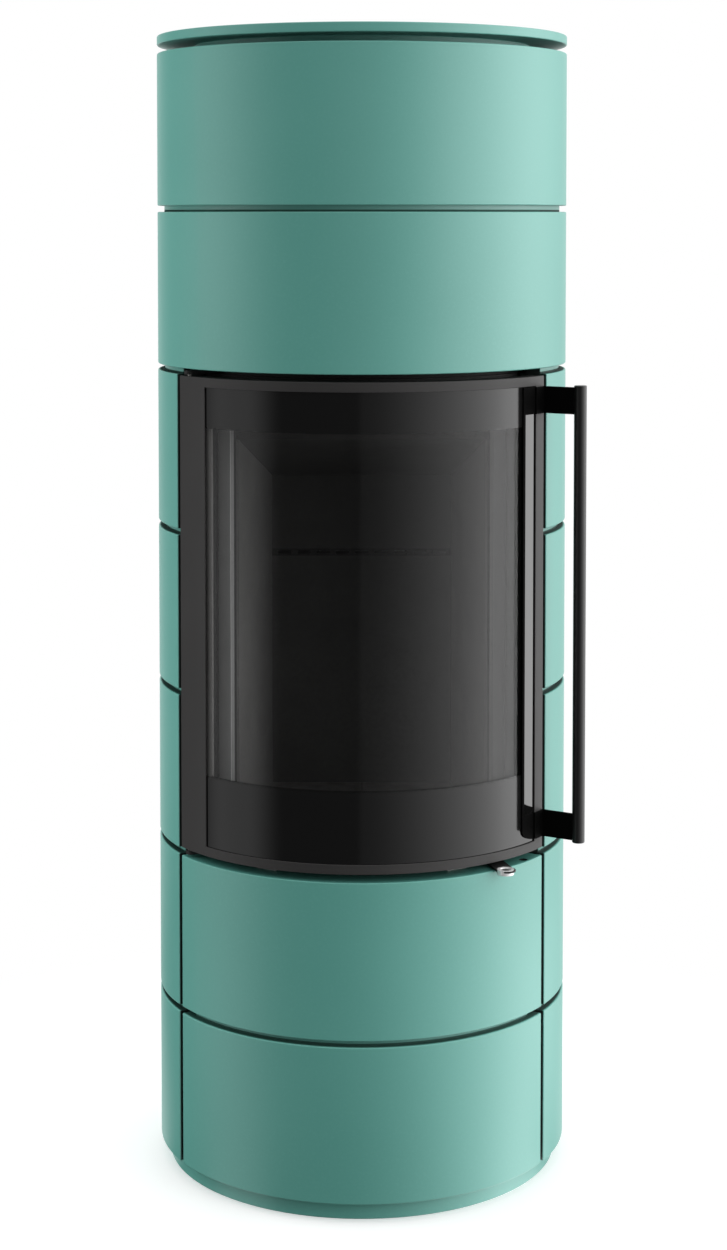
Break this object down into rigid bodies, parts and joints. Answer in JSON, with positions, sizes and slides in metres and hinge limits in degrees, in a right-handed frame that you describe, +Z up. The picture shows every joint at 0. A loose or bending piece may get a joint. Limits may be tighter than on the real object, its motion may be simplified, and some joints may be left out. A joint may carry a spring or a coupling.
{
  "type": "tiled wood stove",
  "caption": "Tall round wood stove clad in green glazed tile, with a curved glass door, a bar handle and a pull-out air control.",
  "frame": {"origin": "middle of the plinth's underside, on the floor and on the axis of the round body", "axes": "+Z up, the glass door faces -Y, the handle is towards +X and the hinge towards -X"},
  "size_m": [0.554, 0.54, 1.4835],
  "materials": {
    "green_glaze": "satin",
    "door_paint": "matte",
    "handle_paint": "matte",
    "ceramic_glass": "gloss",
    "sealing_rope": "matte",
    "firebrick": "matte",
    "cast_stone": "matte",
    "cast_iron": "matte",
    "chrome": "gloss",
    "bright_steel": "satin",
    "sheet_steel": "satin",
    "black_steel": "matte"
  },
  "bodies": {
    "stove": {"plinth": "green_glaze", "right_tile_row_1": "green_glaze", "left_tile_row_1": "green_glaze", "right_tile_row_2": "green_glaze", "left_tile_row_2": "green_glaze", "right_tile_row_3": "green_glaze", "left_tile_row_3": "green_glaze", "right_tile_row_4": "green_glaze", "left_tile_row_4": "green_glaze", "right_tile_row_5": "green_glaze", "left_tile_row_5": "green_glaze", "front_tile_row_1": "green_glaze", "front_tile_row_2": "green_glaze", "tile_ring_row_6": "green_glaze", "tile_ring_row_7": "green_glaze", "top_plate": "green_glaze", "tile_clips": "sheet_steel", "body_casing": "black_steel", "front_frame": "sheet_steel", "firebox_floor": "black_steel", "firebox_roof": "black_steel", "floor_lining": "firebrick", "grate": "cast_iron", "ash_box": "sheet_steel", "ash_pan": "sheet_steel", "back_lining_lower": "firebrick", "back_lining_upper": "firebrick", "nozzle_bar": "black_steel", "left_lining": "firebrick", "right_lining": "firebrick", "lower_baffle": "firebrick", "upper_baffle": "firebrick", "baffle_hangers": "sheet_steel", "rear_air_channel": "sheet_steel", "air_wash_channel": "black_steel", "log_guard": "black_steel", "storage_blocks": "cast_stone", "flue_pipe": "black_steel", "air_duct": "sheet_steel", "air_box": "sheet_steel", "slide_guides": "sheet_steel", "hinge_brackets": "black_steel", "hinge_pins": "bright_steel", "latch_bracket": "black_steel", "roller_pin": "bright_steel"},
    "door": {"door_frame": "door_paint", "door_flange": "door_paint", "door_gasket": "sealing_rope", "door_glass": "ceramic_glass", "glass_gasket": "sealing_rope", "glass_retainer": "black_steel", "handle_frame": "handle_paint", "handle_bar": "handle_paint", "rope_channel": "door_paint", "hinge_bushes": "bright_steel", "latch_strike": "black_steel"},
    "air_control": {"air_rod": "black_steel", "air_knob": "chrome", "air_shutter": "sheet_steel"},
    "roller": {"latch_roller": "bright_steel"}
  },
  "joints": [
    {"name": "door_hinge", "type": "hinge", "parent": "stove", "child": "door", "pos_m": [-0.2185, -0.14457, 0.7422], "axis": [0, 0, -1], "range_deg": [0, 100]},
    {"name": "air_slide", "type": "slide", "parent": "stove", "child": "air_control", "axis": [0.279, -0.9603, 0], "range_m": [0, 0.022]},
    {"name": "roller_spin", "type": "hinge", "parent": "stove", "child": "roller", "pos_m": [0.1996, -0.13559, 0.7422], "axis": [0, 0, 1], "continuous": true}
  ]
}
